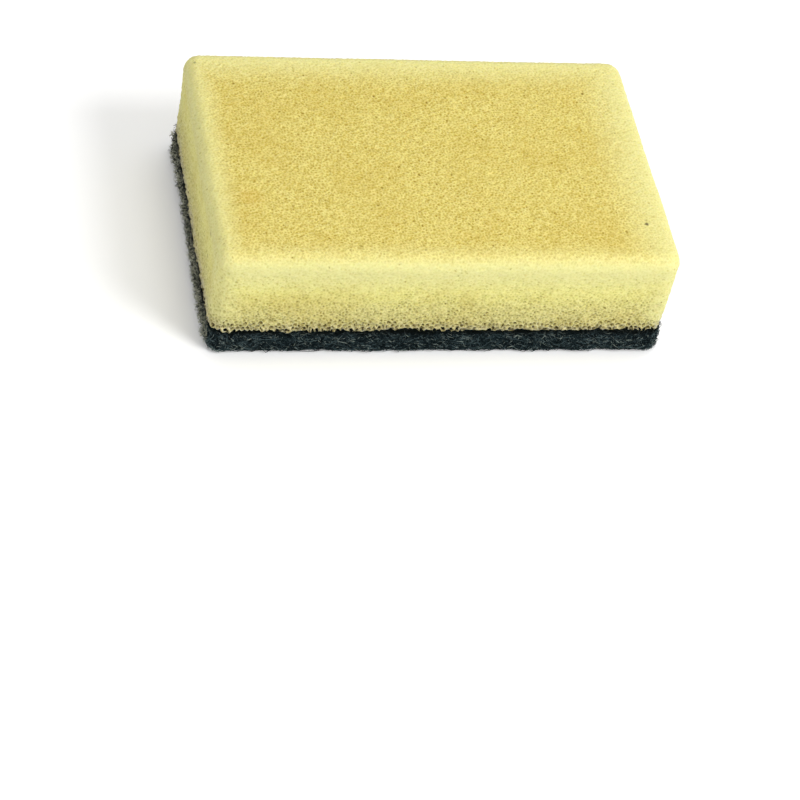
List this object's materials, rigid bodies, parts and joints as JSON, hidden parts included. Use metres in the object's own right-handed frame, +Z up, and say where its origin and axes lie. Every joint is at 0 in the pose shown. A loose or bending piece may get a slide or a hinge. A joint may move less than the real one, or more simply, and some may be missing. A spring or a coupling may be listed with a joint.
{
  "type": "dish sponge",
  "caption": "Rectangular open-cell foam block with a dark non-woven scouring pad bonded to its underside, for washing up by hand.",
  "frame": {"origin": "middle of the scouring pad's underside, on the surface that the sponge rests on", "axes": "+X along the length, +Y from the front long side to the back, +Z up through the pad into the foam"},
  "size_m": [0.09, 0.0599, 0.0245],
  "materials": {
    "foam": "open-cell polyurethane foam, matt",
    "scouring_fibre": "dark green-black non-woven fibre with abrasive resin, matt"
  },
  "bodies": {
    "root": {"foam_block": "foam", "scouring_pad": "scouring_fibre"}
  },
  "joints": []
}
